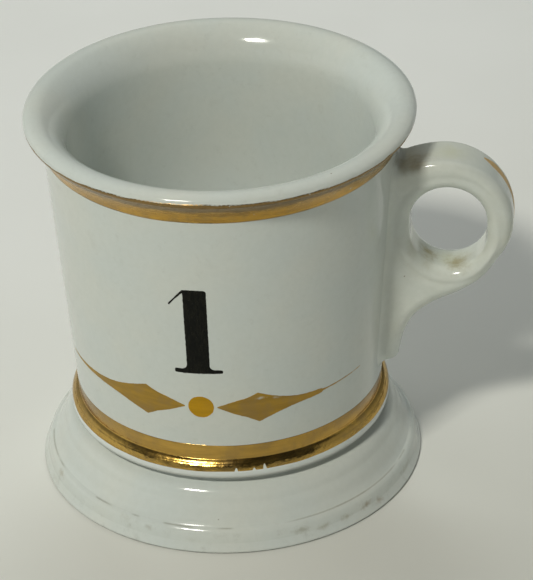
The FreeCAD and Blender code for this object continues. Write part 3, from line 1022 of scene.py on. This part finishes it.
def build_rim_band():
    """The gilding under the lip, with a brushed upper edge."""
    # The band's browned upper part is painted shade
    gilt = gold("rim_gold", (0.66, 0.38, 0.07), (0.48, 0.28, 0.06), rough=0.22, wear=0.67,
                relief=0.07, browning=rim_painted_shade)
    top = run_at(RIM_HEIGHT - 1.75, 0.5) + wander(0.2, (2, 5, 11, 23, 41, 67), 1.7)
    foot = run_at(RIM_BAND_FOOT, 0.5) + wander(0.05, (3, 7, 16), 0.6)
    make_object("rim_band", band(top, foot), gilt, "burnished_gold", "rim_gold_band")


# Nicks in the lower band's foot: bearing in degrees and depth, and their width in radians
BASE_NICKS = ((-81.25, 0.9), (-75.0, 0.6), (-71.25, 1.35))
NICK_WIDTH = 0.004


def build_base_band():
    """The gilding over the cove and the bead, hammered on the bead and nicked at its foot."""
    gilt = gold("band_gold", (0.66, 0.41, 0.10), (0.50, 0.31, 0.08), rough=0.13, wear=0.72,
                relief=0.15, browning=end_browning, hammered_below=19.7)
    top = run_at(BASE_BAND_TOP, 5) + wander(0.04, (2, 5, 13), 2.2)
    foot = run_at(BASE_BAND_FOOT - 0.45, 5) + wander(0.07, (3, 8, 19, 31), 0.9)
    nicks = np.zeros(BAND_ROUND)
    for bearing, depth in BASE_NICKS:
        off_nick = BAND_ANGLES - math.tau - math.radians(bearing)
        nicks += depth * np.exp(-((off_nick / NICK_WIDTH) ** 2))
    make_object("base_band", band(top, foot, 40, nicks), gilt, "burnished_gold", "base_gold_band")


def build_decoration():
    """The painted front: the numeral, and the gilt dot between two leaves."""
    numeral = painted(numeral_outline(), ENAMEL_LIFT, 0.02)
    make_object("numeral", numeral, enamel("numeral_enamel"), "black_enamel", "numeral_one")
    dot_gold = gold("dot_gold", (0.66, 0.37, 0.025), (0.56, 0.31, 0.022), rough=0.36, wear=0.8,
                    relief=0.04, dulled=0.12)
    dot = painted(dot_outline(), GOLD_LIFT, 0.03)
    make_object("dot", dot, dot_gold, "matt_gold", "ornament_dot")
    leaf_gold = gold("ornament_gold", (0.51, 0.315, 0.06), (0.39, 0.24, 0.055), rough=0.34, wear=0.73,
                     relief=0.04, blots=LEAF_WEAR)
    left = painted(leaf_outline(-1, LEFT_TAIL, 1.1, 0.0, 0.08, 0.0), GOLD_LIFT, 0.03)
    make_object("leaf_left", left, leaf_gold, "matt_gold", "ornament_leaf_left")
    right = painted(leaf_outline(1, RIGHT_TAIL, 0.95, 0.02, 0.03, 0.6), GOLD_LIFT, 0.03)
    make_object("leaf_right", right, leaf_gold, "matt_gold", "ornament_leaf_right")


# Floor, lights and camera

FLOOR_HALF = 3000
# Painted light: the floor is darker near the front and paler towards the back left
FLOOR_NEAR_SHADED = (0.69, 0.69, 0.645)
FLOOR_FAR_LIT = (0.88, 0.885, 0.87)
FLOOR_CLOUD = (0.5, 0.5, 0.46)


def make_floor():
    """Matt paper with painted light: darker in front, paler towards the back left."""
    paint = Paint("floor_paper", Roughness=0.6)
    x, y, _ = paint.xyz()
    # Painted light: a gradient from the darker front to the paler back left
    lit_far_left = paint.step(paint.math("ADD", y, paint.times(x, -0.55)), -0.14, 0.24)
    tone = paint.mix(lit_far_left, FLOOR_NEAR_SHADED, FLOOR_FAR_LIT)
    clouds = paint.times(paint.step(paint.noise(60, 2.0), 0.3, 0.7), 0.06)
    paint.drive("Base Color", paint.mix(clouds, tone, FLOOR_CLOUD))
    paint.bump(paint.noise(1.2, 4.0, 0.6), 0.1, 0.05)
    mesh = bpy.data.meshes.new("floor")
    half = FLOOR_HALF * MM
    square = [(-half, -half, 0), (half, -half, 0), (half, half, 0), (-half, half, 0)]
    mesh.from_pydata(square, [], [(0, 1, 2, 3)])
    mesh.materials.append(paint.material)
    floor = bpy.data.objects.new("floor", mesh)
    bpy.context.scene.collection.objects.link(floor)


LIGHT_AIM = (0, 0, 50)
KEY_COLOUR = (1.0, 0.985, 0.89)
FILL_COLOUR = (0.96, 1.0, 0.965)
# Lights: name, bearing and rise in degrees, distance, width, height, watts, colour, seen in the glaze
LIGHTS = [
    ("key", -114, 50, 1500, 230, 130, 12.4, KEY_COLOUR, True),
    ("left_fill", 150, 40, 900, 500, 400, 0.75, FILL_COLOUR, False),
    ("back_fill", 90, 50, 1600, 800, 600, 7.0, FILL_COLOUR, False),
]


def area_light(name, bearing, rise, distance, width, height, power, colour, seen):
    """A soft light at a bearing from the mug, turned to face it."""
    turn, rise = math.radians(bearing), math.radians(rise)
    way = Vector((math.cos(rise) * math.cos(turn), math.cos(rise) * math.sin(turn), math.sin(rise)))
    light = bpy.data.lights.new(name, "AREA")
    light.shape = "RECTANGLE"
    light.size = width * MM
    light.size_y = height * MM
    light.energy = power
    light.color = colour
    lamp = bpy.data.objects.new(name, light)
    lamp.location = (Vector(LIGHT_AIM) + way * distance) * MM
    lamp.rotation_euler = way.to_track_quat("Z", "Y").to_euler()
    lamp.visible_glossy = seen
    bpy.context.scene.collection.objects.link(lamp)


# The room's colour and the least strength of its light
ROOM_COLOUR = (0.95, 1.0, 0.965, 1)
LEAST_LIGHT = 0.025
# Plane that closes off the upper room in front of the mug: weights of front, side and up
HOOD = (0.834, -0.46, 0.305)


def make_world():
    """A pale room: light low down and on the sides, dark overhead and high up in front."""
    world = bpy.data.worlds.new("room")
    bpy.context.scene.world = world
    world.use_nodes = True
    room = Pattern(world.node_tree)
    background = room.tree.nodes["Background"]
    background.inputs["Color"].default_value = ROOM_COLOUR
    place = room.node("ShaderNodeTexCoord").outputs["Generated"]
    x, y, z = room.node("ShaderNodeSeparateXYZ", {"Vector": place}).outputs

    def side(part, strength):
        """Strength towards one side, falling off to both its neighbours."""
        toward = room.math("MAXIMUM", part, 0.0)
        share = room.math("DIVIDE", room.times(toward, toward), level)
        return room.times(share, strength)

    level = room.math("ADD", room.times(x, x), room.times(y, y))
    level = room.math("MAXIMUM", level, 0.000001)
    left = room.times(x, -1.0)
    front = room.times(y, -1.0)
    low_light = room.math("ADD", side(front, 0.24), side(x, 0.38))
    low_light = room.math("ADD", low_light, side(left, 0.68))
    high_light = room.math("ADD", side(x, 0.30), side(left, 0.30))
    across = room.times(room.math("ABSOLUTE", x), HOOD[1])
    ahead = room.math("ADD", room.times(front, HOOD[0]), across)
    ahead = room.math("ADD", ahead, room.times(z, HOOD[2]))
    open_side = room.math("SUBTRACT", 1.0, room.step(ahead, -0.03, 0.03))
    below_ceiling = room.math("SUBTRACT", 1.0, room.step(z, 0.6, 0.85))
    high_light = room.times(high_light, open_side, below_ceiling)
    low_share = room.math("SUBTRACT", 1.0, room.step(z, 0.35, 0.5))
    lower = room.times(low_light, low_share)
    upper = room.times(high_light, room.math("SUBTRACT", 1.0, low_share))
    total = room.math("ADD", room.math("ADD", lower, upper), LEAST_LIGHT)
    room.tree.links.new(total, background.inputs["Strength"])


# The camera's bearing round the mug, its yaw, pitch and roll in radians, its place, lens and sensor
BEARING = math.radians(8)
CAMERA_TURNS = (0.016488, 0.550409, -0.0318774)
EYE = (0, -582.633, 401.586)
LENS = 175.0
SENSOR = 36


def make_camera():
    """The eye stands in front of the mug, a little right of the painted side, and looks down on it."""
    yaw, pitch, roll = CAMERA_TURNS
    ahead = math.cos(pitch)
    forward = Vector((math.sin(yaw) * ahead, math.cos(yaw) * ahead, -math.sin(pitch)))
    right = Vector((math.cos(yaw), -math.sin(yaw), 0))
    up = right.cross(forward)
    leaned_right = right * math.cos(roll) + up * math.sin(roll)
    leaned_up = up * math.cos(roll) - right * math.sin(roll)
    basis = Matrix((leaned_right, leaned_up, -forward)).transposed()
    spin = Matrix.Rotation(BEARING, 3, "Z")
    data = bpy.data.cameras.new("camera")
    data.sensor_width = SENSOR
    data.lens = LENS
    data.clip_start = 0.01
    data.clip_end = 20
    camera = bpy.data.objects.new("camera", data)
    camera.matrix_world = Matrix.Translation(spin @ Vector(EYE) * MM) @ (spin @ basis).to_4x4()
    bpy.context.scene.collection.objects.link(camera)
    bpy.context.scene.camera = camera


build_cup()
build_foot()
built_handle = build_handle()
build_rim_band()
build_base_band()
build_decoration()
build_handle_line(built_handle)
make_floor()
make_world()
make_camera()
for light in LIGHTS:
    area_light(*light)
bpy.context.scene.view_settings.view_transform = "Standard"
